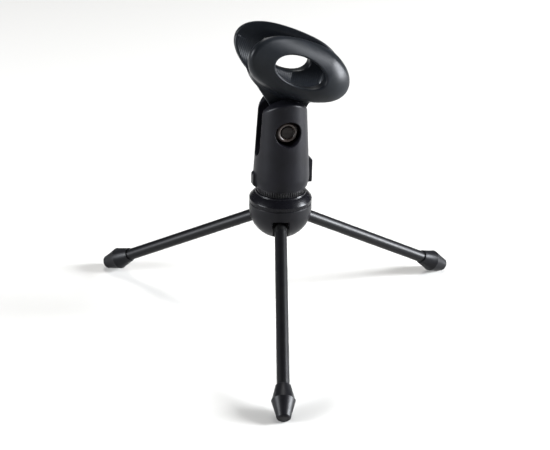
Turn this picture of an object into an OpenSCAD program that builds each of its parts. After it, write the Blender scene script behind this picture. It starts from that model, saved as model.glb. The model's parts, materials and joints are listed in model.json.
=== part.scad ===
// Small desktop tripod microphone stand with a tilting egg-shaped microphone clip.
// The three legs stand at 120 degrees, one of them along -Y. The origin is the middle of the
// footprint, on the floor. The column's axis stands behind it, at y = column_y.
// The clip's own frame: -X is the way out of its mouth, Z is up from the pivot bolt.

/* [Legs] */
// Distance from the column's axis to a leg's hinge pin
hinge_r = 9.9; // [9.4:0.1:10.2]
// Angle of an open leg below horizontal
leg_splay = 29.3; // [26:0.1:32]
// Diameter of a leg rod
rod_d = 5.6; // [5:0.1:5.7]
// Distance along a leg from its hinge pin to the tip of its foot
leg_reach = 106.5; // [90:0.5:130]
// Length of a rubber foot
foot_l = 17.1; // [15:0.1:22]
// Radius of a foot at its widest ring
foot_ring_r = 5.5; // [5:0.1:6]
// Radius of a foot at its tip
foot_tip_r = 3.4; // [3:0.1:4]

/* [Hub] */
// Outer radius of the hub
hub_r = 15.2; // [14.8:0.1:15.6]
// Width of a leg slot
slot_w = 7.5; // [7.2:0.1:8]
// Height of the seam between hub and cover, above the hinge pins
seam_z = 8.2; // [8:0.1:8.6]
// Radius of the stud that the clip base screws on to
stud_r = 7.88; // [7.5:0.02:7.9]

/* [Clip base] */
// Turn of the clip base about the column, from the front leg
head_yaw = 14.5; // [0:0.5:90]
// Height of the clip's pivot bolt above the hinge pins
bolt_z = 46.8; // [45:0.1:50]
// Width of the slot for the clip's tongue
fork_gap = 7.4; // [7.2:0.1:7.8]
// Radius of the arched top of the two cheeks
arch_r = 14.8; // [14:0.1:14.9]

/* [Microphone clip] */
// Tilt of the clip, mouth end up
clip_tilt = 27.5; // [0:0.5:60]
// Radius of the channel that grips the microphone
channel_r = 12; // [11.5:0.1:12.2]
// Outer radius of the clip's body
shell_r = 16.1; // [15.8:0.1:16.4]
// Half length of the clip, seen from the side
egg_a = 27.8; // [26:0.1:29]
// Half height of the clip, seen from the side
egg_b = 15.4; // [15:0.1:15.8]

/* [Hidden] */
$fn = 64;

// Legs, in the order front, right, left: the angle of each about the column
LEG_ANGLES = [-90, 30, 150];

// Clearances: a turning fit, and the play between faces of parts that move
fit = 0.07;
play = 0.1;

// Leg
rod_r = rod_d / 2;
rod_start = 1.6;
rod_end = leg_reach - 8;
pin_r = 1;
pin_l = 14;
knuckle_w = slot_w - 2 * play;
knuckle_barrel_r = 2.8;
knuckle_sleeve_r = 3.2;
knuckle_sleeve_l = 5.6;

// Foot, measured along the leg from the hinge pin
foot_start = leg_reach - foot_l;
foot_ring_s = foot_start + 7.7;
foot_mouth_r = 3.6;
foot_tip_round = 1.4;
pad_cut = 0.35;

// Where the tip's rounded edge is centred, and how high that puts the hinge pins
tip_s = leg_reach - foot_tip_round;
tip_r = foot_tip_r - foot_tip_round;
hinge_h = tip_s * sin(leg_splay) + tip_r * cos(leg_splay) + foot_tip_round - pad_cut;

// How far a foot's tip reaches along the leg's own direction, and 60 degrees off it
reach_ahead = hinge_r + tip_s * cos(leg_splay) + tip_r * sin(leg_splay) + foot_tip_round;
reach_behind = hinge_r / 2 + tip_s * cos(leg_splay) / 2
    + tip_r * sqrt(1 - pow(cos(leg_splay) / 2, 2)) + foot_tip_round;
column_y = (reach_ahead - reach_behind) / 2;

// Hub, measured from the height of the hinge pins
dome_z = 4.9;
hub_floor_z = -9.5;
slot_top_z = 3.1;
slot_in_r = 6.4;
flange_r = 10;
flange_z = 5.2;
screw_r = 1.5;
screw_head_r = 2.75;
screw_head_h = 2.2;
cover_top_z = 14.1;
lip_out_r = 12.3;
lip_in_r = 11.2;

// Lock ring and stud
ring_z = cover_top_z + play;
ring_h = 2.9;
ring_r = 11.75;
ring_ribs = 60;
rib_w = 0.6;
rib_depth = 0.4;
stud_top_z = 29.4;

// Clip base
base_z = ring_z + ring_h + play;
base_end_r = 12.8;
base_r = 13.75;
base_chamfer = 2;
base_taper = 0.056;
base_top_z = bolt_z + arch_r + 1;
base_top_r = base_r - base_taper * (base_top_z - base_z - base_chamfer);
gap_floor_z = bolt_z - 13.5;
insert_r = 9.6;
insert_h = 13;
lug_w = 4;

// Pivot bolt and its hardware, measured along the bolt from the middle of the slot
bolt_r = 3;
bolt_bore_r = bolt_r + fit;
well_r = 6.25;
well_b = 5.2;
washer_r = 6;
washer_t = 0.6;
nut_af = 10.2;
nut_h = 2.2;
collar_h = 1.2;
collar_r = 5;
head_r = 5;
head_h = 3;
bolt_end_b = well_b + washer_t + nut_h + collar_h - 0.5;
friction_t = 0.6;
friction_r = 7;

// Clip, in its own frame: the egg's middle, the oval windows, the channel and the tongue
egg_x = -9.8;
egg_z = 29.9;
window_a = 13.4;
window_b = 6.9;
window_x = -11.3;
window_z = 30.2;
nose_r = 21.4;
nose_x = 1.5;
shell_l = 50;
channel_mouth_x = -48;
channel_step_x = -4;
channel_taper_x = 9;
tail_r = 8;
tail_x = 20;
tongue_r = 8;
root_t = 11;
tongue_t = fork_gap - 2 * (friction_t + play / 2) - play;

// ---------------------------------------------------------------- places

// The column's axis at the height of the hinge pins
module on_column() { translate([0, column_y, hinge_h]) children(); }

// Leg i: its hinge pin is at the origin along Y, the leg runs out along +X
module on_leg(i) {
    on_column() rotate([0, 0, LEG_ANGLES[i]]) translate([hinge_r, 0, 0])
        rotate([0, leg_splay, 0]) children();
}

// The clip base's frame: the slot runs along X, the pivot bolt along Y
module on_head() { on_column() rotate([0, 0, head_yaw]) children(); }

// The clip's frame: the bolt's axis is Y through the origin
module on_clip() { on_head() translate([0, 0, bolt_z]) rotate([0, clip_tilt, 0]) children(); }

// A solid from z = 0 up, laid along the bolt from y = -b towards the nut
module along_bolt(b) {
    on_head() translate([0, -b, bolt_z]) rotate([90, 0, 0]) children();
}

// ---------------------------------------------------------------- shapes

// A washer or bush
module ring(r_out, r_in, h) {
    difference() {
        cylinder(r = r_out, h = h);
        translate([0, 0, -1]) cylinder(r = r_in, h = h + 2);
    }
}

// A bar along Y with an oval section of half length a and half height b: two flat arcs meet
// a little beyond the ends, and a circle rounds them off
module oval_bar(a, b, depth) {
    drop = (pow(1.15 * a, 2) - b * b) / (2 * b);
    rotate([90, 0, 0]) intersection() {
        translate([0, -drop, -depth / 2]) cylinder(r = b + drop, h = depth, $fn = 180);
        translate([0, drop, -depth / 2]) cylinder(r = b + drop, h = depth, $fn = 180);
        translate([0, 0, -depth / 2 - 1]) cylinder(r = a, h = depth + 2, $fn = 96);
    }
}

// The half space below the floor
module below_floor() { translate([-200, -200, -40]) cube([400, 400, 40]); }

// ---------------------------------------------------------------- legs

// Moulded knuckle: a barrel on the hinge pin with a sleeve for the rod
module leg_knuckle(i) {
    color([0.10, 0.10, 0.11]) on_leg(i) difference() {
        union() {
            rotate([90, 0, 0]) cylinder(r = knuckle_barrel_r, h = knuckle_w, center = true);
            rotate([0, 90, 0]) cylinder(r = knuckle_sleeve_r, h = knuckle_sleeve_l);
        }
        rotate([90, 0, 0]) cylinder(r = pin_r + fit, h = slot_w + 2, center = true);
        translate([rod_start, 0, 0]) rotate([0, 90, 0]) cylinder(r = rod_r, h = knuckle_sleeve_l);
    }
}

// Steel rod, painted black
module leg_rod(i) {
    color([0.08, 0.08, 0.09]) on_leg(i) translate([rod_start, 0, 0]) rotate([0, 90, 0])
        cylinder(r = rod_r, h = rod_end - rod_start);
}

// Hinge pin, held in the hub across a leg slot
module leg_pin(i) {
    color([0.55, 0.55, 0.56]) on_leg(i) rotate([90, 0, 0])
        cylinder(r = pin_r, h = pin_l, center = true);
}

// Rubber foot: two cones that meet at a ring, with a blind hole for the rod
module foot(i) {
    color([0.06, 0.06, 0.065]) difference() {
        on_leg(i) rotate([0, 90, 0]) rotate_extrude() {
            polygon([[rod_r, foot_start + 0.5], [rod_r + 0.3, foot_start], [foot_mouth_r, foot_start],
                     [foot_mouth_r + 0.25, foot_start + 0.4], [foot_ring_r - 0.25, foot_ring_s - 0.6],
                     [foot_ring_r, foot_ring_s], [foot_ring_r - 0.25, foot_ring_s + 0.3],
                     [foot_tip_r, tip_s], [tip_r, leg_reach], [0, leg_reach],
                     [0, rod_end], [rod_r, rod_end]]);
            translate([tip_r, tip_s]) circle(r = foot_tip_round);
        }
        below_floor();
    }
}

// ---------------------------------------------------------------- hub

// Domed hub with three leg slots, a seat for the stud's flange and the middle screw's hole
module hub_body() {
    color([0.11, 0.11, 0.12]) on_column() difference() {
        intersection() {
            union() {
                translate([0, 0, dome_z]) sphere(r = hub_r, $fn = 96);
                translate([0, 0, dome_z]) cylinder(r = hub_r, h = seam_z - dome_z, $fn = 96);
            }
            translate([0, 0, hub_floor_z]) cylinder(r = hub_r + 1, h = seam_z - hub_floor_z);
        }
        for (a = LEG_ANGLES) rotate([0, 0, a]) {
            translate([slot_in_r, -slot_w / 2, hub_floor_z - 1])
                cube([hub_r, slot_w, slot_top_z - hub_floor_z + 1]);
            translate([hinge_r, 0, 0]) rotate([90, 0, 0]) cylinder(r = pin_r, h = pin_l, center = true);
        }
        translate([0, 0, flange_z]) cylinder(r = flange_r, h = hub_r);
        translate([0, 0, hub_floor_z - 1]) cylinder(r = screw_r, h = flange_z - hub_floor_z + 2);
        translate([0, 0, hub_floor_z - 1]) cylinder(r = screw_head_r + play, h = screw_head_h + 1.1);
    }
}

// Cover with a sloping shoulder and a raised lip
module hub_cover() {
    color([0.10, 0.10, 0.11]) on_column() rotate_extrude($fn = 96)
        polygon([[stud_r + fit, seam_z], [hub_r - 0.2, seam_z], [hub_r - 0.2, seam_z + 0.15],
                 [hub_r, seam_z + 0.3], [hub_r, seam_z + 1.9], [hub_r - 0.3, seam_z + 2.3],
                 [hub_r - 0.9, seam_z + 3.4], [hub_r - 2.1, seam_z + 4.7], [lip_out_r, seam_z + 5],
                 [lip_out_r, cover_top_z - 0.4], [lip_out_r - 0.4, cover_top_z],
                 [lip_in_r, cover_top_z], [lip_in_r - 0.4, cover_top_z - 0.5],
                 [stud_r + fit, cover_top_z - 0.5]]);
}

// Threaded stud with a flange that sits in the hub under the cover
module thread_stud() {
    color([0.6, 0.6, 0.62]) on_column() difference() {
        union() {
            translate([0, 0, flange_z]) cylinder(r = flange_r, h = seam_z - flange_z);
            translate([0, 0, flange_z]) cylinder(r = stud_r, h = stud_top_z - flange_z - 0.8);
            translate([0, 0, stud_top_z - 0.8]) cylinder(r1 = stud_r, r2 = stud_r - 0.8, h = 0.8);
        }
        translate([0, 0, flange_z - 1]) cylinder(r = screw_r, h = 9);
    }
}

// Screw up through the hub into the stud, with a cross-shaped drive
module center_screw() {
    color([0.5, 0.5, 0.52]) on_column() difference() {
        union() {
            translate([0, 0, hub_floor_z + 0.1]) cylinder(r = screw_head_r, h = screw_head_h);
            translate([0, 0, hub_floor_z + 1]) cylinder(r = screw_r, h = flange_z + 7 - hub_floor_z - 1);
        }
        for (a = [0, 90]) rotate([0, 0, a]) translate([-1.7, -0.35, hub_floor_z - 0.9])
            cube([3.4, 0.7, 2.2]);
    }
}

// Ribbed lock ring that jams the clip base on the stud
module lock_ring() {
    color([0.09, 0.09, 0.10]) on_column() difference() {
        translate([0, 0, ring_z]) ring(ring_r, stud_r + fit, ring_h);
        for (k = [0 : ring_ribs - 1]) rotate([0, 0, k * 360 / ring_ribs])
            translate([ring_r - rib_depth, -rib_w / 2, ring_z + 0.4]) cube([1, rib_w, ring_h]);
    }
}

// ---------------------------------------------------------------- clip base

// A grip lug on the side x = side: it stands out past the base by out, from low to high, with
// a sloping top end and a bottom end that slopes by foot_slope
module lug(side, out, low, high, foot_slope) {
    r = base_r + out;
    rotate([90, 0, 0]) linear_extrude(lug_w, center = true)
        polygon([for (p = [[9, low], [r - foot_slope - 0.1, low], [r, low + foot_slope], [r, high - 1.8],
                           [r - 1.8, high], [9, high]]) [side * p[0], p[1]]]);
}

// Slotted base: tapered barrel, two arched cheeks, wells for the bolt's head and nut
module clip_base() {
    color([0.12, 0.12, 0.13]) on_head() difference() {
        union() {
            intersection() {
                rotate_extrude($fn = 96)
                    polygon([[0, base_z], [base_end_r, base_z], [base_r, base_z + base_chamfer],
                             [base_top_r, base_top_z], [0, base_top_z]]);
                union() {
                    translate([-20, -20, base_z]) cube([40, 40, bolt_z - base_z]);
                    translate([0, 0, bolt_z]) rotate([90, 0, 0])
                        cylinder(r = arch_r, h = 40, center = true, $fn = 96);
                }
            }
            lug(-1, 0.75, 17.4, 25.4, 1.2);
            lug(1, 1.4, 17.6, 30.7, 0.2);
        }
        translate([-20, -fork_gap / 2, gap_floor_z + fork_gap / 2]) cube([40, fork_gap, 40]);
        translate([0, 0, gap_floor_z + fork_gap / 2]) rotate([0, 90, 0])
            cylinder(r = fork_gap / 2, h = 40, center = true);
        translate([0, 0, base_z - 1]) cylinder(r = insert_r, h = insert_h + 1);
        translate([0, 0, bolt_z]) rotate([90, 0, 0]) {
            cylinder(r = bolt_bore_r, h = 40, center = true);
            translate([0, 0, well_b]) cylinder(r = well_r, h = 10);
            translate([0, 0, -well_b - 10]) cylinder(r = well_r, h = 10);
        }
    }
}

// Threaded metal bush in the foot of the base
module thread_insert() {
    color([0.72, 0.6, 0.32]) on_head() translate([0, 0, base_z]) ring(insert_r, stud_r + fit, insert_h);
}

// ---------------------------------------------------------------- pivot hardware

// Bolt with a round head and a cross-shaped drive on the far side
module pivot_bolt() {
    color([0.22, 0.2, 0.18]) difference() {
        union() {
            along_bolt(-well_b - washer_t) cylinder(r = bolt_r, h = well_b + washer_t + bolt_end_b);
            along_bolt(-well_b - washer_t - head_h) cylinder(r = head_r, h = head_h);
        }
        for (a = [0, 90]) along_bolt(-well_b - washer_t - head_h - 0.5) rotate([0, 0, a])
            translate([-3, -0.6, 0]) cube([6, 1.2, 2.3]);
    }
}

module bolt_washer() {
    color([0.3, 0.28, 0.26]) along_bolt(-well_b - washer_t) ring(washer_r, bolt_bore_r, washer_t);
}

module nut_washer() {
    color([0.3, 0.28, 0.26]) along_bolt(well_b) ring(washer_r, bolt_bore_r, washer_t);
}

// Hexagonal lock nut
module pivot_nut() {
    color([0.26, 0.22, 0.18]) along_bolt(well_b + washer_t) difference() {
        intersection() {
            rotate([0, 0, 15]) cylinder(r = nut_af / 2 / cos(30), h = nut_h, $fn = 6);
            cylinder(r1 = nut_af / 2 + 3, r2 = nut_af / 2 + 0.2, h = nut_h + 0.01);
        }
        translate([0, 0, -1]) cylinder(r = bolt_r, h = nut_h + 2);
    }
}

// Collar of the lock nut
module nut_collar() {
    color([0.2, 0.18, 0.16]) along_bolt(well_b + washer_t + nut_h) ring(collar_r, bolt_r, collar_h);
}

// Thin washers between the tongue and the cheeks
module friction_washer(side) {
    near = fork_gap / 2 - play / 2 - friction_t;
    color([0.35, 0.33, 0.3]) along_bolt(side > 0 ? near : -near - friction_t)
        ring(friction_r, bolt_bore_r, friction_t);
}

// ---------------------------------------------------------------- microphone clip

// The clip's outer body: a round shell with a bullet nose, cut to an egg from the side
module clip_blank() {
    intersection() {
        translate([nose_x, 0, egg_z]) rotate([0, -90, 0]) rotate_extrude($fn = 96) {
            square([shell_r, shell_l]);
            intersection() {
                translate([shell_r - nose_r, 0]) circle(r = nose_r, $fn = 120);
                translate([0, -nose_r]) square([shell_r, nose_r + 1]);
            }
        }
        translate([egg_x, 0, egg_z]) oval_bar(egg_a, egg_b, 4 * shell_r);
    }
}

// The wedge below the body that narrows to the tongue on the bolt, and its thicker root, which
// stays clear of the cheeks' arches
module clip_neck() {
    rotate([90, 0, 0]) {
        linear_extrude(tongue_t, center = true) {
            circle(r = tongue_r);
            polygon([[-5, -5], [-9, 5.8], [-26.5, 16.2], [-25, egg_z - 8], [6.5, egg_z - 8],
                     [7.6, 18.5], [5.3, 14], [5.4, 5]]);
        }
        linear_extrude(root_t, center = true)
            polygon([[-16, 13.2], [-22, 15.2], [-22, egg_z - 8], [6, egg_z - 8], [5, 17.2], [3.5, 15.8]]);
    }
}

module mic_clip() {
    color([0.16, 0.165, 0.18]) on_clip() difference() {
        union() {
            clip_blank();
            clip_neck();
        }
        translate([0, 0, egg_z]) rotate([0, 90, 0]) {
            translate([0, 0, channel_mouth_x])
                cylinder(r = channel_r, h = channel_step_x - channel_mouth_x, $fn = 96);
            translate([0, 0, channel_step_x])
                cylinder(r1 = channel_r, r2 = tail_r, h = channel_taper_x - channel_step_x, $fn = 96);
            cylinder(r = tail_r, h = tail_x, $fn = 96);
        }
        translate([window_x, 0, window_z]) oval_bar(window_a, window_b, 4 * shell_r);
        translate([0, 0, egg_z]) linear_extrude(20)
            polygon([[-45, -14], [-14, -7], [20, -1.4], [20, 1.4], [-14, 7], [-45, 14]]);
        rotate([90, 0, 0]) cylinder(r = bolt_bore_r, h = 20, center = true);
    }
}

// ---------------------------------------------------------------- nodes

hub_body();
hub_cover();
thread_stud();
center_screw();
lock_ring();
leg_knuckle(0);  // leg_knuckle_front
leg_knuckle(1);  // leg_knuckle_right
leg_knuckle(2);  // leg_knuckle_left
leg_rod(0);  // leg_rod_front
leg_rod(1);  // leg_rod_right
leg_rod(2);  // leg_rod_left
leg_pin(0);  // leg_pin_front
leg_pin(1);  // leg_pin_right
leg_pin(2);  // leg_pin_left
foot(0);  // foot_front
foot(1);  // foot_right
foot(2);  // foot_left
clip_base();
thread_insert();
pivot_bolt();
bolt_washer();
nut_washer();
pivot_nut();
nut_collar();
friction_washer(1);  // friction_washer_near
friction_washer(-1);  // friction_washer_far
mic_clip();
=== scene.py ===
"""Small desktop tripod microphone stand: the looks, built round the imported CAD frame.

Lengths are in millimetres in the section frames below and turned into metres when a mesh is made.
"""
import json
from math import atan, cos, pi, radians, sin, sqrt

import bpy
import numpy as np
from mathutils import Matrix, Vector


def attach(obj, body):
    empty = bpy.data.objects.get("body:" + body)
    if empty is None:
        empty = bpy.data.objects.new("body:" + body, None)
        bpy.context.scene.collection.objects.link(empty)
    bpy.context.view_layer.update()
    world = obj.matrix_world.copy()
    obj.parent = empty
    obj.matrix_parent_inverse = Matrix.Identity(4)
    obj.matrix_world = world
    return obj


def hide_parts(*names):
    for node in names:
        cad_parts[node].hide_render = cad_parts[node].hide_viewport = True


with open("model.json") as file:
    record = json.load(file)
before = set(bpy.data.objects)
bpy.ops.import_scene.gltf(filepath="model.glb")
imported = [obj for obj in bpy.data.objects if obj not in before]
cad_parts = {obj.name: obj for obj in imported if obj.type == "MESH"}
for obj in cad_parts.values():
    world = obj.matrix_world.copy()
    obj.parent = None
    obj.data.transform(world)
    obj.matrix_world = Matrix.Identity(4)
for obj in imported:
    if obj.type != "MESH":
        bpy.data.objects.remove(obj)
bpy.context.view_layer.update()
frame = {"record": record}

MM = 0.001

# ---------------------------------------------------------------- places read from the frame

joints = {joint["name"]: joint for joint in frame["record"]["behaviour"]["joints"]}
LEGS = ("front", "right", "left")


def point_mm(values):
    return Vector(values) / MM


hinge = point_mm(joints["leg_front_fold"]["pos_m"])
bolt = point_mm(joints["clip_tilt"]["pos_m"])
bolt_axis = Vector(joints["clip_tilt"]["axis"])
clamp = next(m for m in frame["record"]["mounts"] if m["name"] == "mic_clamp")
mouth_way = Vector(clamp["axis"])

# Heights in the column and head frames are measured from the hinge pins
column = Matrix.Translation((bolt.x, bolt.y, hinge.z))
BOLT_Z = bolt.z - hinge.z
head_yaw = Vector((0, 1)).angle_signed(bolt_axis.xy) * -1
head = column @ Matrix.Rotation(head_yaw, 4, "Z")
clip_tilt = atan(mouth_way.z / mouth_way.xy.length)
clip = head @ Matrix.Translation((0, 0, BOLT_Z)) @ Matrix.Rotation(clip_tilt, 4, "Y")


def leg_frame(leg):
    """The hinge pin is the origin and lies along Y; the leg runs out along +X."""
    joint = joints[f"leg_{leg}_fold"]
    pin = point_mm(joint["pos_m"])
    across = Vector(joint["axis"])
    level = across.cross(Vector((0, 0, 1)))
    turn = Matrix((level, across, (0, 0, 1))).transposed().to_4x4()
    return Matrix.Translation(pin) @ turn @ Matrix.Rotation(LEG_SPLAY, 4, "Y")


# ---------------------------------------------------------------- sizes, in millimetres

LEG_SPLAY = radians(29.3)
ROD_R = 2.95
HUB_R = 15.2
SEAM_Z = 8.2
STUD_R = 7.88
STUD_BORE_R = STUD_R + 0.07
ARCH_R = 14.8
BOLT_BORE_R = 3.07

# ---------------------------------------------------------------- solids as distance fields
# A field is negative inside its solid. The joins below round the edge they make to radius r.


def joined(a, b, r):
    """Both solids, with a fillet where they meet."""
    if r == 0:
        return np.minimum(a, b)
    return np.maximum(r, np.minimum(a, b)) - np.hypot(np.maximum(r - a, 0), np.maximum(r - b, 0))


def shared(a, b, r):
    """What two solids share, with its edge rounded."""
    if r == 0:
        return np.maximum(a, b)
    return np.minimum(-r, np.maximum(a, b)) + np.hypot(np.maximum(r + a, 0), np.maximum(r + b, 0))


def cut(a, b, r):
    """a without b, with its edge rounded."""
    return shared(a, -b, r)


def slab(x, low, high):
    return np.maximum(low - x, x - high)


def oval(x, z, a, b):
    """Near enough the distance to an ellipse of half length a and half height b."""
    k = np.hypot(x / a, z / b)
    return k * (k - 1) / (np.hypot(x / a ** 2, z / b ** 2) + 1e-9)


def slope(field, points):
    """The field's gradient at each point, a step to either side."""
    h = 0.01
    rows = []
    for axis in range(3):
        ahead, behind = points.copy(), points.copy()
        ahead[:, axis] += h
        behind[:, axis] -= h
        rows.append((field(*ahead.T) - field(*behind.T)) / (2 * h))
    return np.stack(rows, axis=1)


def onto_surface(field, points, steps, reach):
    """Moves points to where the field is zero, by no more than reach each step."""
    for _ in range(steps):
        g = slope(field, points)
        move = field(*points.T)[:, None] * g / np.maximum((g * g).sum(axis=1, keepdims=True), 1e-6)
        size = np.linalg.norm(move, axis=1, keepdims=True)
        points = points - move * np.minimum(1, reach / np.maximum(size, 1e-9))
    return points


def net(field, low, high, step):
    """Vertices, quads and normals of a field's surface inside a box: one vertex in each grid cell
    that the surface crosses, and one quad across each grid edge that it cuts."""
    axes = [np.arange(a - step, b + 2 * step, step) for a, b in zip(low, high)]
    inside = field(*np.meshgrid(*axes, indexing="ij", sparse=True)) < 0
    filled = sum(inside[i:i - 1 or None, j:j - 1 or None, k:k - 1 or None].astype(np.int8)
                 for i in (0, 1) for j in (0, 1) for k in (0, 1))
    crossed = (filled > 0) & (filled < 8)
    number = np.full(crossed.shape, -1)
    number[crossed] = np.arange(crossed.sum())
    start = np.array([axis[0] for axis in axes])
    points = start + (np.argwhere(crossed) + 0.5) * step
    quads = []
    for axis in range(3):
        turned = np.moveaxis(inside, axis, 0)
        cells = np.moveaxis(number, axis, 0)
        change = turned[1:, 1:-1, 1:-1] != turned[:-1, 1:-1, 1:-1]
        i, j, k = np.nonzero(change)
        four = np.stack([cells[i, j, k], cells[i, j + 1, k], cells[i, j + 1, k + 1], cells[i, j, k + 1]], 1)
        outward = turned[i, j + 1, k + 1]
        if axis == 1:
            outward = ~outward
        four[~outward] = four[~outward][:, ::-1]
        quads.append(four)
    quads = np.concatenate(quads)
    points = onto_surface(field, points, 3, step)
    ends = np.concatenate([quads, np.roll(quads, 1, axis=1)]).ravel()
    others = np.concatenate([np.roll(quads, 1, axis=1), quads]).ravel()
    count = np.bincount(ends, minlength=len(points))
    for _ in range(2):
        total = [np.bincount(ends, points[others, axis], len(points)) for axis in range(3)]
        mean = np.stack(total, axis=1) / count[:, None]
        points = onto_surface(field, points * 0.4 + mean * 0.6, 2, step)
    normals = slope(field, points)
    return points, quads, normals / np.linalg.norm(normals, axis=1, keepdims=True)


# ---------------------------------------------------------------- meshes and pieces


def in_row(points, place):
    """Points in millimetres in a frame, as metres in the row frame."""
    rows = np.array(place)
    return (points @ rows[:3, :3].T + rows[:3, 3]) * MM


def piece(name, points, faces, place, body, nodes, material, normals=None, sharp=35):
    """A mesh object that stands for CAD nodes and rides on their body."""
    mesh = bpy.data.meshes.new(name)
    corners = in_row(np.asarray(points, float), place)
    mesh.from_pydata(corners.tolist(), [], [list(map(int, face)) for face in faces])
    mesh.validate()
    mesh.polygons.foreach_set("use_smooth", [True] * len(mesh.polygons))
    if normals is not None:
        turned = normals @ np.array(place)[:3, :3].T
        mesh.normals_split_custom_set_from_vertices(turned.tolist())
    else:
        mesh.set_sharp_from_angle(angle=radians(sharp))
    made = bpy.data.objects.new(name, mesh)
    bpy.context.scene.collection.objects.link(made)
    made.data.materials.append(material)
    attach(made, body)
    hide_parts(*nodes)
    return made


def solid(name, field, low, high, step, place, body, nodes, material):
    """A piece from a distance field."""
    points, quads, normals = net(field, low, high, step)
    return piece(name, points, quads, place, body, nodes, material, normals)


def arc(centre, r, start, end, steps=6):
    """Points of an arc in a lathe outline, angles in degrees from the outward direction."""
    angles = [radians(start + (end - start) * i / steps) for i in range(steps + 1)]
    return [(centre[0] + r * cos(a), centre[1] + r * sin(a)) for a in angles]


def lathe(outline, segments=96, ripple=None):
    """Points and faces of an outline of (radius, height) turned about Z, its points running
    anticlockwise. It closes on itself, or starts and ends on the axis and is capped there.
    ripple(angle, radius, height) may change a radius."""
    capped = outline[0][0] == 0
    rim = outline[1:-1] if capped else outline
    rows = len(rim)
    points, faces = [], []
    for s in range(segments):
        angle = 2 * pi * s / segments
        for r, z in rim:
            if ripple:
                r = ripple(angle, r, z)
            points.append((r * cos(angle), r * sin(angle), z))
    if capped:
        points += [(0, 0, outline[0][1]), (0, 0, outline[-1][1])]
    foot, top = segments * rows, segments * rows + 1
    for s in range(segments):
        a, b = s * rows, (s + 1) % segments * rows
        for i in range(rows - 1 if capped else rows):
            j = (i + 1) % rows
            faces.append((a + i, b + i, b + j, a + j))
        if capped:
            faces += [(foot, b, a), (a + rows - 1, b + rows - 1, top)]
    return points, faces


# ---------------------------------------------------------------- materials


def shader(name, colour, roughness, metallic=0.0, specular=0.5):
    """A new material with its nodes, their links, its shader and its coordinates in millimetres."""
    material = bpy.data.materials.new(name)
    material.use_nodes = True
    nodes, links = material.node_tree.nodes, material.node_tree.links
    surface = nodes["Principled BSDF"]
    surface.inputs["Base Color"].default_value = (*colour, 1)
    surface.inputs["Roughness"].default_value = roughness
    surface.inputs["Metallic"].default_value = metallic
    surface.inputs["Specular IOR Level"].default_value = specular
    place = nodes.new("ShaderNodeTexCoord")
    scale = nodes.new("ShaderNodeMapping")
    scale.inputs["Scale"].default_value = (1 / MM, 1 / MM, 1 / MM)
    links.new(place.outputs["Object"], scale.inputs["Vector"])
    return material, nodes, links, surface, scale.outputs["Vector"]


def noise(nodes, links, where, per_mm, detail, roughness=0.6, squeeze=(1, 1, 1)):
    """A noise texture with about per_mm features a millimetre, more of them along an axis where
    squeeze is above one."""
    made = nodes.new("ShaderNodeTexNoise")
    made.inputs["Scale"].default_value = per_mm
    made.inputs["Detail"].default_value = detail
    made.inputs["Roughness"].default_value = roughness
    squeezed = nodes.new("ShaderNodeMapping")
    squeezed.inputs["Scale"].default_value = squeeze
    links.new(where, squeezed.inputs["Vector"])
    links.new(squeezed.outputs["Vector"], made.inputs["Vector"])
    return made.outputs["Fac"]


def between(nodes, links, factor, low, high, start=0.3, end=0.7):
    """A number that goes from low to high as factor goes from start to end."""
    made = nodes.new("ShaderNodeMapRange")
    for name, value in (("From Min", start), ("From Max", end), ("To Min", low), ("To Max", high)):
        made.inputs[name].default_value = value
    links.new(factor, made.inputs["Value"])
    return made.outputs["Result"]


def tinted(nodes, links, surface, factor, dark, light):
    """Makes the shader's colour go from dark to light with factor."""
    made = nodes.new("ShaderNodeMix")
    made.data_type = "RGBA"
    made.inputs["A"].default_value = (*dark, 1)
    made.inputs["B"].default_value = (*light, 1)
    links.new(between(nodes, links, factor, 0, 1), made.inputs["Factor"])
    links.new(made.outputs["Result"], surface.inputs["Base Color"])


def bumped(nodes, links, surface, height, depth):
    """Adds a bump, its depth in millimetres, to those that the shader already has."""
    made = nodes.new("ShaderNodeBump")
    made.inputs["Distance"].default_value = depth * MM
    links.new(height, made.inputs["Height"])
    normal = surface.inputs["Normal"]
    if normal.is_linked:
        links.new(normal.links[0].from_socket, made.inputs["Normal"])
    links.new(made.outputs["Normal"], normal)


def moulded(name, dark, light, rough, grain_mm, grain_depth, specular):
    """Moulded plastic, rubber or paint: cloudy tone, uneven gloss and a fine grain."""
    material, nodes, links, surface, where = shader(name, dark, rough[0], specular=specular)
    cloud = noise(nodes, links, where, 0.12, 4)
    tinted(nodes, links, surface, cloud, dark, light)
    smear = noise(nodes, links, where, 0.45, 5, 0.65)
    links.new(between(nodes, links, smear, *rough), surface.inputs["Roughness"])
    grain = noise(nodes, links, where, 1 / grain_mm, 2)
    bumped(nodes, links, surface, grain, grain_depth)
    return material


MARK_DEPTH = 0.01


def machined(name, dark, light, rough, squeeze=(1, 1, 1)):
    """Metal with a slightly stained tone and fine tool marks, closer along an axis with squeeze."""
    material, nodes, links, surface, where = shader(name, dark, rough[0], metallic=1.0)
    stain = noise(nodes, links, where, 0.5, 4)
    tinted(nodes, links, surface, stain, dark, light)
    marks = noise(nodes, links, where, 3.0, 3, squeeze=squeeze)
    links.new(between(nodes, links, marks, *rough), surface.inputs["Roughness"])
    bumped(nodes, links, surface, marks, MARK_DEPTH)
    return material


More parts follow.
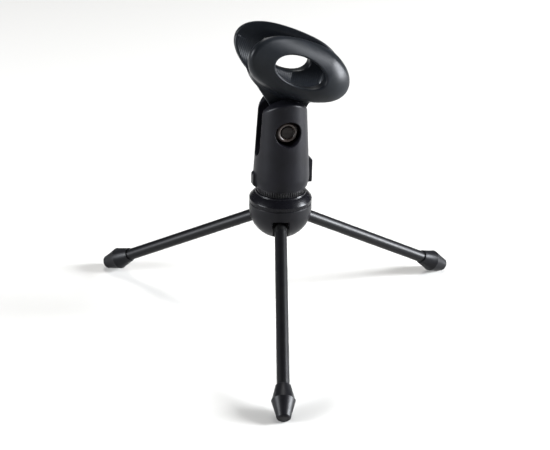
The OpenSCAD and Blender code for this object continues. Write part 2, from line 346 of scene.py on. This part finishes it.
HUB_PLASTIC = moulded("hub_plastic", (0.003, 0.003, 0.004), (0.005, 0.005, 0.006),
                      rough=(0.34, 0.42), grain_mm=0.20, grain_depth=0.002, specular=0.12)
COVER_PLASTIC = moulded("cover_plastic", (0.002, 0.002, 0.003), (0.003, 0.003, 0.004),
                        rough=(0.22, 0.30), grain_mm=0.22, grain_depth=0.001, specular=0.14)
BASE_PLASTIC = moulded("base_plastic", (0.003, 0.003, 0.004), (0.005, 0.005, 0.007),
                       rough=(0.34, 0.42), grain_mm=0.7, grain_depth=0.012, specular=0.11)
RING_PLASTIC = moulded("ring_plastic", (0.003, 0.003, 0.003), (0.004, 0.004, 0.005),
                       rough=(0.36, 0.44), grain_mm=0.25, grain_depth=0.002, specular=0.16)
KNUCKLE_PLASTIC = moulded("knuckle_plastic", (0.002, 0.002, 0.002), (0.003, 0.003, 0.003),
                          rough=(0.5, 0.6), grain_mm=0.25, grain_depth=0.003, specular=0.08)
FOOT_RUBBER = moulded("foot_rubber", (0.003, 0.003, 0.004), (0.005, 0.005, 0.006),
                      rough=(0.36, 0.44), grain_mm=0.30, grain_depth=0.002, specular=0.14)
FIBRE = moulded("fibre", (0.03, 0.026, 0.022), (0.05, 0.044, 0.038),
                rough=(0.7, 0.85), grain_mm=0.15, grain_depth=0.01, specular=0.2)
ROD_PAINT = moulded("rod_paint", (0.002, 0.002, 0.003), (0.004, 0.004, 0.004),
                    rough=(0.34, 0.42), grain_mm=0.8, grain_depth=0.001, specular=0.14)
COLLAR_NYLON = moulded("collar_nylon", (0.026, 0.019, 0.016), (0.038, 0.029, 0.025),
                       rough=(0.28, 0.36), grain_mm=0.8, grain_depth=0.001, specular=0.45)
DARK_STEEL = machined("dark_steel", (0.012, 0.011, 0.011), (0.024, 0.022, 0.021), rough=(0.34, 0.46))
PLAIN_STEEL = machined("plain_steel", (0.42, 0.42, 0.44), (0.56, 0.56, 0.58),
                       rough=(0.28, 0.42), squeeze=(1, 1, 6))
BRASS = machined("brass_insert", (0.58, 0.42, 0.18), (0.72, 0.56, 0.28),
                 rough=(0.25, 0.4), squeeze=(1, 1, 6))

# ---------------------------------------------------------------- microphone clip
# The clip's frame: the bolt's axis is Y through the origin, -X is the way out of the mouth.

# The outside is an oval, its middle at EGG (x, z) on the channel's axis, trimmed to a tube
# of radius SHELL_R that curves in beyond NOSE_X
EGG = (-9.8, 29.9)
EGG_HALF = (27.8, 15.4)
SHELL_R = 16.1
NOSE_X = 1.5
NOSE_R = 21.4

# Along the clip, the underside's depth is divided by these
UNDER_X = (-30, -14, -3, 7)
UNDER_SQUEEZE = (0.95, 1, 1, 1.11)

# The channel narrows from TAPER_X on, over TAPER_L; it opens along the top and at both sides
CHANNEL_R = clamp["dims"]["r_mm"]
TAIL_R = 8.0
TAPER_X = -4
TAPER_L = 13
OPENING_X = (-45, -14, 20)
OPENING_HALF = (14, 7, 1.4)
WINDOW = (-11.3, 30.2)
WINDOW_HALF = (13.4, 6.9)

# The neck: its edges on the mouth's side and on the nose's side, as two (x, z) points each
MOUTH_EDGE = ((-27.3, 16.7), (-5.3, 3.6))
NOSE_EDGE = ((5.0, 3.0), (5.5, 20.0))
NECK_X = -26.5
NECK_LOW_Z = 2.0
NECK_TOP_Z = EGG[1] - 8
NECK_FILLET = 3.5
TONGUE_T = 6.0
TONGUE_R = 8.0
ARCH_GAP = 0.5


def line(x, z, start, end):
    """Distance to the left of the line from start to end, in the XZ plane."""
    along = Vector(end) - Vector(start)
    along.normalize()
    return (x - start[0]) * along[1] - (z - start[1]) * along[0]


def neck_field(x, y, z):
    """The wedge below the body that narrows to the tongue on the bolt."""
    wedge = shared(line(x, z, *MOUTH_EDGE), line(x, z, *NOSE_EDGE), 1.0)
    wedge = shared(shared(wedge, slab(z, NECK_LOW_Z, NECK_TOP_Z), 0), NECK_X - x, 2.0)
    tongue = joined(wedge, np.hypot(x, z) - TONGUE_R, 2.0)
    return shared(tongue, np.abs(y) - TONGUE_T / 2, 0.5)


def egg_field(x, y, z):
    """The body from outside, with nothing cut out of it."""
    u, w = x - EGG[0], z - EGG[1]
    w = np.where(w < 0, w * np.interp(x, UNDER_X, UNDER_SQUEEZE), w)
    skin = np.hypot(y, w)
    nose = np.hypot(np.maximum(x - NOSE_X, 0), np.maximum(skin - SHELL_R + NOSE_R, 0)) - NOSE_R
    return shared(oval(u, w, *EGG_HALF), nose, 2.2)


def channel_field(x, y, z):
    """The room for the microphone, open along the top."""
    w = z - EGG[1]
    taper = np.clip((x - TAPER_X) / TAPER_L, 0, 1)
    channel = np.hypot(y, w) - CHANNEL_R + (CHANNEL_R - TAIL_R) * taper
    opening = shared(np.abs(y) - np.interp(x, OPENING_X, OPENING_HALF), -w, 0)
    return joined(channel, opening, 1.2)


def clip_field(x, y, z):
    from_bolt = np.hypot(x, z)
    beside_tongue = shared(from_bolt - ARCH_R - ARCH_GAP, TONGUE_T / 2 - np.abs(y), 0)
    body = joined(egg_field(x, y, z), neck_field(x, y, z), NECK_FILLET)
    body = cut(body, beside_tongue, 0.4)
    body = cut(body, channel_field(x, y, z), 1.2)
    body = cut(body, oval(x - WINDOW[0], z - WINDOW[1], *WINDOW_HALF), 1.0)
    return cut(body, from_bolt - BOLT_BORE_R, 0.2)


# The wave texture goes through 20 radians a unit where its scale is one
WAVE_RADIANS = 20
CHANNEL_RIB_PITCH = 1.0
CHANNEL_RIB_DEPTH = 0.03
CHANNEL_RIB_WAVER = 0.6
CHANNEL_RIB_FADE = (0.1, 0.4)


def vector_step(nodes, links, operation, value, by=(0, 0, 0)):
    """A node that does one calculation on a vector."""
    made = nodes.new("ShaderNodeVectorMath")
    made.operation = operation
    made.inputs[1].default_value = by
    links.new(value, made.inputs[0])
    return made


def rib_the_channel(material, place):
    """Adds fine ribs across the channel's wall, which fade out just outside its radius."""
    nodes, links = material.node_tree.nodes, material.node_tree.links
    whole = nodes.new("ShaderNodeTexCoord")
    local = nodes.new("ShaderNodeMapping")
    local.vector_type = "TEXTURE"
    local.inputs["Location"].default_value = place.translation * MM
    local.inputs["Rotation"].default_value = place.to_euler()
    local.inputs["Scale"].default_value = (MM, MM, MM)
    links.new(whole.outputs["Object"], local.inputs["Vector"])
    wave = nodes.new("ShaderNodeTexWave")
    wave.inputs["Scale"].default_value = 2 * pi / WAVE_RADIANS / CHANNEL_RIB_PITCH
    wave.inputs["Distortion"].default_value = CHANNEL_RIB_WAVER
    links.new(local.outputs["Vector"], wave.inputs["Vector"])
    centred = vector_step(nodes, links, "SUBTRACT", local.outputs["Vector"], (0, 0, EGG[1]))
    flat = vector_step(nodes, links, "MULTIPLY", centred.outputs["Vector"], (0, 1, 1))
    radius = vector_step(nodes, links, "LENGTH", flat.outputs["Vector"])
    full_r, gone_r = (CHANNEL_R + fade for fade in CHANNEL_RIB_FADE)
    near = between(nodes, links, radius.outputs["Value"], 1, 0, full_r, gone_r)
    height = nodes.new("ShaderNodeMath")
    height.operation = "MULTIPLY"
    links.new(wave.outputs["Fac"], height.inputs[0])
    links.new(near, height.inputs[1])
    bumped(nodes, links, nodes["Principled BSDF"], height.outputs["Value"], CHANNEL_RIB_DEPTH)


CLIP_PLASTIC = moulded("clip_plastic", (0.004, 0.005, 0.006), (0.006, 0.007, 0.009),
                       rough=(0.33, 0.41), grain_mm=0.30, grain_depth=0.002, specular=0.11)
rib_the_channel(CLIP_PLASTIC, clip)
solid("clip_shell", clip_field, (-39, -17, -9), (20, 17, 47), 0.45, clip, "clip",
      ("mic_clip",), CLIP_PLASTIC)

# ---------------------------------------------------------------- clip base
# The head's frame: the slot runs along X, the bolt along Y, heights are above the hinge pins.

BASE_Z = 17.2
BASE_END_R = 12.8
BASE_R = 13.75
BASE_CHAMFER = 2.0
BASE_TAPER = 0.056
FORK_GAP = 7.4
FORK_FLOOR_Z = BOLT_Z - 13.5
WELL_R = 6.25
WELL_B = 5.2
INSERT_R = 9.6
INSERT_H = 13.0
LUG_W = 4.0
LUG_ROOT_X = 9
LUG_TOP_SLOPE = 1.8
LUGS = (
    dict(side=-1, out=0.75, low=17.2, high=25.4, foot_slope=1.2),
    dict(side=1, out=1.4, low=17.3, high=30.6, foot_slope=0.2),
)


def lug_field(x, y, z, side, out, low, high, foot_slope):
    """A grip lug on the side x = side, from low to high, with its two ends sloped off."""
    past = side * x - BASE_R - out
    block = shared(slab(z, low, high), past, 0.2)
    block = shared(block, (past + low + foot_slope - z) / sqrt(2), 0.2)
    block = shared(block, (past + z - high + LUG_TOP_SLOPE) / sqrt(2), 0.3)
    return shared(shared(block, np.abs(y) - LUG_W / 2, 0.3), LUG_ROOT_X - side * x, 0)


def base_field(x, y, z):
    """A tapered cup, arched over the bolt and forked for the tongue, with wells for nut and head."""
    radius = np.hypot(x, y)
    flank = radius - BASE_R + BASE_TAPER * (z - BASE_Z - BASE_CHAMFER)
    run = BASE_R - BASE_END_R
    chamfer = ((radius - BASE_END_R) * BASE_CHAMFER - (z - BASE_Z) * run) / np.hypot(run, BASE_CHAMFER)
    body = shared(shared(flank, chamfer, 1.6), BASE_Z - z, 0.3)
    above = z > BOLT_Z
    arch = np.where(above, np.hypot(x, z - BOLT_Z), np.abs(x)) - ARCH_R
    body = shared(body, arch, 0.8)
    for lug in LUGS:
        body = joined(body, lug_field(x, y, z, **lug), 0.2)
    middle = FORK_FLOOR_Z + FORK_GAP / 2
    fork = np.where(z > middle, np.abs(y), np.hypot(y, z - middle)) - FORK_GAP / 2
    body = cut(body, fork, 0.4)
    body = cut(body, shared(radius - INSERT_R, z - BASE_Z - INSERT_H, 0), 0.2)
    from_bolt = np.hypot(x, z - BOLT_Z)
    body = cut(body, shared(from_bolt - WELL_R, WELL_B - np.abs(y), 0.2), 0.35)
    return cut(body, from_bolt - BOLT_BORE_R, 0.1)


solid("base_moulding", base_field, (-16, -14, BASE_Z - 0.5), (16, 14, BOLT_Z + ARCH_R + 0.5), 0.36,
      head, "head", ("clip_base",), BASE_PLASTIC)

insert_outline = [
    (STUD_BORE_R + 0.4, BASE_Z), (INSERT_R - 0.3, BASE_Z), (INSERT_R, BASE_Z + 0.3),
    (INSERT_R, BASE_Z + INSERT_H), (STUD_BORE_R, BASE_Z + INSERT_H), (STUD_BORE_R, BASE_Z + 0.4)]
piece("thread_bush", *lathe(insert_outline), head, "head", ("thread_insert",), BRASS)

# ---------------------------------------------------------------- hub

DOME_Z = 4.9
HUB_FLOOR_Z = -9.5
SLOT_W = 7.5
SLOT_TOP_Z = 2.75
SLOT_IN_R = 6.4
FLANGE_R = 10.0
FLANGE_Z = 5.2
RECESS_R = 2.85
RECESS_DEPTH = 2.3
SCREW_R = 1.5
SCREW_HEAD_R = 2.75
SCREW_HEAD_H = 2.2
SCREW_FACE_Z = HUB_FLOOR_Z + 0.1
SCREW_TOP_Z = FLANGE_Z + 7


def hub_field(x, y, z):
    """A bowl with a slot for each leg's knuckle, a well for the stud and a recess for the screw."""
    radius = np.hypot(x, y)
    dome = np.where(z < DOME_Z, np.hypot(radius, z - DOME_Z), radius) - HUB_R
    body = shared(dome, slab(z, HUB_FLOOR_Z, SEAM_Z), 0.3)
    for leg in LEGS:
        out = Vector(joints[f"leg_{leg}_fold"]["axis"]).cross(Vector((0, 0, 1)))
        along, across = x * out.x + y * out.y, y * out.x - x * out.y
        slot = shared(shared(np.abs(across) - SLOT_W / 2, z - SLOT_TOP_Z, 0.3), SLOT_IN_R - along, 0.3)
        body = cut(body, slot, 0.6)
    body = cut(body, shared(radius - FLANGE_R, FLANGE_Z - z, 0), 0.1)
    return cut(body, shared(radius - RECESS_R, z - HUB_FLOOR_Z - RECESS_DEPTH, 0), 0.25)


solid("hub_moulding", hub_field, (-15.5, -15.5, HUB_FLOOR_Z - 0.5), (15.5, 15.5, SEAM_Z + 0.5), 0.36,
      column, "hub", ("hub_body",), HUB_PLASTIC)

COVER_TOP_Z = 14.1
LIP_OUT_R = 12.3
LIP_IN_R = 11.2

cover_outline = [
    (STUD_BORE_R, SEAM_Z), (HUB_R - 0.35, SEAM_Z), (HUB_R - 0.35, SEAM_Z + 0.18),
    *arc((HUB_R - 0.25, SEAM_Z + 0.43), 0.25, -90, 0),
    *arc((HUB_R - 0.55, SEAM_Z + 1.9), 0.55, 0, 38),
    (HUB_R - 0.6, SEAM_Z + 2.85), (HUB_R - 1.5, SEAM_Z + 3.9), (LIP_OUT_R + 0.3, SEAM_Z + 4.9),
    (LIP_OUT_R + 0.08, SEAM_Z + 5.05), (LIP_OUT_R, SEAM_Z + 5.2),
    *arc((LIP_OUT_R - 0.55, COVER_TOP_Z - 0.55), 0.55, 0, 90, 8),
    *arc((LIP_IN_R + 0.45, COVER_TOP_Z - 0.45), 0.45, 90, 180),
    (LIP_IN_R, COVER_TOP_Z - 0.5), (STUD_BORE_R, COVER_TOP_Z - 0.5)]
piece("hub_cover_cap", *lathe(cover_outline, 160), column, "hub", ("hub_cover",), COVER_PLASTIC)


def threaded(outline_r, depth, pitch, low, high):
    """A ripple that cuts a screw thread into the wall at outline_r, between two heights."""
    def ripple(angle, r, z):
        if abs(r - outline_r) > 1e-6 or not low < z < high:
            return r
        phase = (z / pitch - angle / (2 * pi)) % 1
        return r - depth * abs(2 * phase - 1)
    return ripple


STUD_TOP_Z = 29.4
THREAD_PITCH = 0.94
THREAD_DEPTH = 0.5
ROWS_PER_TURN = 6
thread_low_z, thread_high_z = COVER_TOP_Z - 0.4, STUD_TOP_Z - 0.9
thread_steps = int((thread_high_z - thread_low_z) / THREAD_PITCH * ROWS_PER_TURN)
thread_rows = [(STUD_R, thread_low_z + i * THREAD_PITCH / ROWS_PER_TURN) for i in range(thread_steps)]
thread = threaded(STUD_R, THREAD_DEPTH, THREAD_PITCH, thread_low_z, thread_high_z)
stud_outline = [
    (SCREW_R, FLANGE_Z), (FLANGE_R - 0.2, FLANGE_Z), (FLANGE_R, FLANGE_Z + 0.2), (FLANGE_R, SEAM_Z - 0.2),
    (FLANGE_R - 0.2, SEAM_Z), (STUD_R, SEAM_Z), *thread_rows, (STUD_R, thread_high_z),
    (STUD_R - 0.8, STUD_TOP_Z), (SCREW_R, STUD_TOP_Z)]
piece("hub_stud", *lathe(stud_outline, 120, thread), column, "hub", ("thread_stud",), PLAIN_STEEL)


def cross_cut(x, y, depth, length, width):
    """A cross-shaped drive recess; depth is how far a point lies beyond the recess's floor."""
    arms = joined(shared(np.abs(x) - length / 2, np.abs(y) - width / 2, 0.05),
                  shared(np.abs(y) - length / 2, np.abs(x) - width / 2, 0.05), 0.15)
    return shared(arms, depth, 0)


def center_screw_field(x, y, z):
    radius = np.hypot(x, y)
    above = z - SCREW_FACE_Z
    screw_head = shared(radius - SCREW_HEAD_R, slab(above, 0, SCREW_HEAD_H), 0.5)
    shank = shared(radius - SCREW_R, slab(z, SCREW_FACE_Z + 1, SCREW_TOP_Z), 0.3)
    recess = cross_cut(x, y, above - 1.2, length=3.4, width=0.7)
    return cut(joined(screw_head, shank, 0.1), recess, 0.1)


solid("hub_screw", center_screw_field, (-3, -3, HUB_FLOOR_Z), (3, 3, SCREW_TOP_Z + 0.2), 0.2,
      column, "hub", ("center_screw",), PLAIN_STEEL)

RING_Z = 14.2
RING_H = 2.9
RING_R = 11.75
RING_RIBS = 60
RING_FOOT_H = 0.35
RIB_DEPTH = 0.5
RIB_SQUARENESS = 1.8


def ribbed(angle, r, z):
    """Fine upright ribs round the lock ring's wall, above its plain foot."""
    if r < RING_R - 0.01 or z < RING_Z + RING_FOOT_H:
        return r
    wave = max(-1, min(1, RIB_SQUARENESS * cos(RING_RIBS * angle)))
    return r - RIB_DEPTH * (0.5 - 0.5 * wave)


ring_outline = [
    (STUD_BORE_R, RING_Z), *arc((RING_R - 0.2, RING_Z + 0.2), 0.2, -90, 0, 3), (RING_R, RING_Z + 0.34),
    (RING_R, RING_Z + 0.45), (RING_R, RING_Z + RING_H - 0.3), (RING_R - 0.3, RING_Z + RING_H),
    (STUD_BORE_R, RING_Z + RING_H)]
piece("ribbed_ring", *lathe(ring_outline, RING_RIBS * 12, ribbed), column, "lock_ring",
      ("lock_ring",), RING_PLASTIC, sharp=50)

# ---------------------------------------------------------------- legs
# A leg's frame: the hinge pin lies along Y through the origin, the leg runs out along +X.

LEG_REACH = 106.49
FOOT_L = 17.1
FOOT_RING_R = 5.5
FOOT_TIP_R = 3.4
FOOT_MOUTH_R = 3.6
FOOT_TIP_ROUND = 1.4
FOOT_SOLID_L = 8
ROD_START = 1.6
PIN_R = 1
PIN_L = 14.0
PIN_BORE_R = 1.07
BARREL_R = 2.6
SLEEVE_R = 3.15
SLEEVE_L = 5.6
foot_start = LEG_REACH - FOOT_L
foot_ring_s = foot_start + 7.7
rod_end = LEG_REACH - FOOT_SOLID_L
along_leg = Matrix.Rotation(pi / 2, 4, "Y")
along_pin = Matrix.Rotation(pi / 2, 4, "X")

rod_outline = [
    (0, ROD_START), (ROD_R - 0.3, ROD_START), (ROD_R, ROD_START + 0.3),
    (ROD_R, rod_end - 0.3), (ROD_R - 0.3, rod_end), (0, rod_end)]
pin_outline = [
    (0, -PIN_L / 2), (PIN_R - 0.2, -PIN_L / 2), (PIN_R, 0.2 - PIN_L / 2),
    (PIN_R, PIN_L / 2 - 0.2), (PIN_R - 0.2, PIN_L / 2), (0, PIN_L / 2)]
foot_outline = [
    (0, rod_end), (ROD_R, rod_end), (ROD_R, foot_start + 0.55), (ROD_R + 0.25, foot_start + 0.25),
    *reversed(arc((FOOT_MOUTH_R - 0.25, foot_start + 0.25), 0.25, 0, -90, 4)),
    (FOOT_MOUTH_R + 0.02, foot_start + 0.45), (FOOT_RING_R - 0.25, foot_ring_s - 0.55),
    *arc((FOOT_RING_R - 0.35, foot_ring_s), 0.35, -22, 12, 6),
    (FOOT_TIP_R + 0.02, LEG_REACH - FOOT_TIP_ROUND - 0.3),
    *arc((FOOT_TIP_R - FOOT_TIP_ROUND, LEG_REACH - FOOT_TIP_ROUND), FOOT_TIP_ROUND, 8, 90, 10),
    (0, LEG_REACH)]


def knuckle_field(x, y, z):
    """A barrel on the pin and a sleeve round the rod's end."""
    barrel = shared(np.hypot(x, z) - BARREL_R, np.abs(y) - SLOT_W / 2 + 0.1, 0.3)
    sleeve = shared(np.hypot(y, z) - SLEEVE_R, slab(x, 0, SLEEVE_L), 0.3)
    body = joined(barrel, sleeve, 0.3)
    body = cut(body, shared(np.hypot(y, z) - ROD_R, ROD_START - x, 0), 0.08)
    return cut(body, np.hypot(x, z) - PIN_BORE_R, 0.1)


for leg in LEGS:
    frame_of_leg = leg_frame(leg)
    body = f"leg_{leg}"
    piece(f"rod_{leg}", *lathe(rod_outline, 48), frame_of_leg @ along_leg, body,
          (f"leg_rod_{leg}",), ROD_PAINT)
    foot = piece(f"rubber_foot_{leg}", *lathe(foot_outline, 96), frame_of_leg @ along_leg, body,
                 (f"foot_{leg}",), FOOT_RUBBER)
    # The tip is pressed flat where it meets the floor
    for vertex in foot.data.vertices:
        vertex.co.z = max(vertex.co.z, 0.0)
    piece(f"hinge_pin_{leg}", *lathe(pin_outline, 32), frame_of_leg @ along_pin, "hub",
          (f"leg_pin_{leg}",), PLAIN_STEEL)
    solid(f"knuckle_{leg}", knuckle_field, (-3, -4, -3.2), (6, 4, 3.2), 0.22, frame_of_leg, body,
          (f"leg_knuckle_{leg}",), KNUCKLE_PLASTIC)

# ---------------------------------------------------------------- pivot bolt
# The bolt's frame: Z runs along the bolt from the middle of the slot towards the nut.

bolt_frame = head @ Matrix.Translation((0, 0, BOLT_Z)) @ along_pin
BOLT_R = 3.0
WASHER_R = 6.0
WASHER_T = 0.6
NUT_FLAT = 5.1
NUT_FACES = (radians(45), radians(105), radians(165))
NUT_H = 2.2
COLLAR_H = 1.2
COLLAR_R = 5.0
BOLT_HEAD_R = 5.0
BOLT_HEAD_H = 3.0
FRICTION_T = 0.6
FRICTION_R = 7.0
nut_b = WELL_B + WASHER_T
collar_b = nut_b + NUT_H
bolt_end_b = collar_b + COLLAR_H - 0.5


def washer_outline(r_out, r_in, low, thick, edge=0.15):
    """A flat washer's outline with broken edges."""
    return [(r_in, low), (r_out - edge, low), (r_out, low + edge), (r_out, low + thick - edge),
            (r_out - edge, low + thick), (r_in, low + thick)]


def washer(name, node, r, low, thick, material):
    outline = washer_outline(r, BOLT_BORE_R, low, thick)
    piece(name, *lathe(outline), bolt_frame, "head", (node,), material)


friction_b = FORK_GAP / 2 - 0.05 - FRICTION_T
washer("nut_side_washer", "nut_washer", WASHER_R, WELL_B, WASHER_T, DARK_STEEL)
washer("head_side_washer", "bolt_washer", WASHER_R, -nut_b, WASHER_T, DARK_STEEL)
washer("fibre_washer_near", "friction_washer_near", FRICTION_R, friction_b, FRICTION_T, FIBRE)
washer("fibre_washer_far", "friction_washer_far", FRICTION_R, -friction_b - FRICTION_T, FRICTION_T, FIBRE)


def nut_field(x, y, z):
    """A hexagon from three pairs of flats, chamfered at the collar's end."""
    pairs = []
    for angle in NUT_FACES:
        pairs.append(np.abs(x * cos(angle) + y * sin(angle)) - NUT_FLAT)
    flats = shared(shared(pairs[0], pairs[1], 0.12), pairs[2], 0.12)
    radius = np.hypot(x, y)
    hexagon = shared(flats, slab(z, nut_b, collar_b), 0.1)
    chamfer = (radius - NUT_FLAT - 0.2 + (z - collar_b) * sqrt(3)) / 2
    hexagon = shared(hexagon, chamfer, 0.1)
    return cut(hexagon, radius - BOLT_R, 0)


solid("hex_nut", nut_field, (-6, -6, nut_b - 0.1), (6, 6, collar_b + 0.1), 0.16, bolt_frame, "head",
      ("pivot_nut",), DARK_STEEL)
collar_outline = [
    (BOLT_R, collar_b), (COLLAR_R, collar_b), (COLLAR_R, collar_b + 0.3),
    *arc((COLLAR_R - 0.9, collar_b + 0.3), 0.9, 0, 90, 10),
    *arc((BOLT_R + 1.0, collar_b + 0.7), 0.5, 90, 180, 8), (BOLT_R + 0.4, collar_b + 0.2)]
piece("nut_collar_ring", *lathe(collar_outline, 96), bolt_frame, "head", ("nut_collar",), COLLAR_NYLON)


def bolt_field(x, y, z):
    radius = np.hypot(x, y)
    shank = shared(radius - BOLT_R, slab(z, -nut_b - 1, bolt_end_b), 0.35)
    top = -nut_b - BOLT_HEAD_H
    bolt_head = shared(radius - BOLT_HEAD_R, slab(z, top, -nut_b), 0.8)
    recess = cross_cut(x, y, z - top - 1.8, length=6.0, width=1.2)
    return cut(joined(bolt_head, shank, 0.1), recess, 0.15)


solid("clamp_bolt", bolt_field, (-5.2, -5.2, -nut_b - BOLT_HEAD_H - 0.1), (5.2, 5.2, bolt_end_b + 0.1), 0.22,
      bolt_frame, "head", ("pivot_bolt",), DARK_STEEL)

# ---------------------------------------------------------------- floor, lights and camera


FLOOR_HALF = 12.0
SKYLIGHT = 0.1
BOX_COLOUR = (0.92, 0.95, 1.0)
LIT_POINT = (0, 0, 0.07)


def ground():
    """A plain pale floor that runs out of sight."""
    mesh = bpy.data.meshes.new("floor")
    corners = [(x * FLOOR_HALF, y * FLOOR_HALF, 0) for x, y in ((-1, -1), (1, -1), (1, 1), (-1, 1))]
    mesh.from_pydata(corners, [], [(0, 1, 2, 3)])
    floor = bpy.data.objects.new("floor", mesh)
    bpy.context.scene.collection.objects.link(floor)
    material, *_ = shader("floor_paper", (0.46, 0.45, 0.43), 0.9, specular=0.1)
    mesh.materials.append(material)


def surroundings():
    """Weak white light from everywhere."""
    world = bpy.data.worlds.new("studio")
    world.use_nodes = True
    background = world.node_tree.nodes["Background"]
    background.inputs["Color"].default_value = (1, 1, 1, 1)
    background.inputs["Strength"].default_value = SKYLIGHT
    bpy.context.scene.world = world


def softbox(name, place, size, power):
    """A slightly blue area light that faces the stand; lengths in metres."""
    lamp = bpy.data.lights.new(name, "AREA")
    lamp.shape = "RECTANGLE"
    lamp.size, lamp.size_y = size
    lamp.energy = power
    lamp.color = BOX_COLOUR
    made = bpy.data.objects.new(name, lamp)
    made.location = place
    made.rotation_mode = "QUATERNION"
    made.rotation_quaternion = (Vector(LIT_POINT) - Vector(place)).to_track_quat("-Z", "Y")
    bpy.context.scene.collection.objects.link(made)


def overhead_light(strength, lean, spread):
    """Soft even light from above, leaning over by an angle; angles in degrees."""
    lamp = bpy.data.lights.new("overhead", "SUN")
    lamp.energy = strength
    lamp.angle = radians(spread)
    made = bpy.data.objects.new("overhead", lamp)
    made.rotation_euler = (radians(lean), 0, 0)
    bpy.context.scene.collection.objects.link(made)


ground()
surroundings()
softbox("right_box", (1.05, 0.0, 0.34), (0.32, 0.75), 68)
softbox("left_box", (-1.02, -0.3, 0.38), (0.5, 0.6), 30)
overhead_light(strength=2.4, lean=-36, spread=20)
bpy.context.scene.view_settings.view_transform = "Standard"

CAMERA_DISTANCE = 800.0
CAMERA_TURN = radians(-2.1)
CAMERA_HEIGHT = radians(25.0)
CAMERA_ROLL = radians(1.36)
CAMERA_LENS = 107.4
CAMERA_SHIFT = (-0.0092, -0.0176)


def aim_camera():
    """The camera looks at the column from the front and above, rolled a little."""
    level = cos(CAMERA_HEIGHT)
    eye = Vector((sin(CAMERA_TURN) * level, -cos(CAMERA_TURN) * level, sin(CAMERA_HEIGHT)))
    lens = bpy.data.cameras.new("camera")
    lens.lens = CAMERA_LENS
    lens.sensor_width = 36
    lens.shift_x, lens.shift_y = CAMERA_SHIFT
    lens.clip_start = 0.01
    camera = bpy.data.objects.new("camera", lens)
    camera.location = (column.translation + eye * CAMERA_DISTANCE) * MM
    camera.rotation_mode = "QUATERNION"
    roll = Matrix.Rotation(CAMERA_ROLL, 3, "Z").to_quaternion()
    camera.rotation_quaternion = (-eye).to_track_quat("-Z", "Y") @ roll
    bpy.context.scene.collection.objects.link(camera)
    bpy.context.scene.camera = camera


aim_camera()
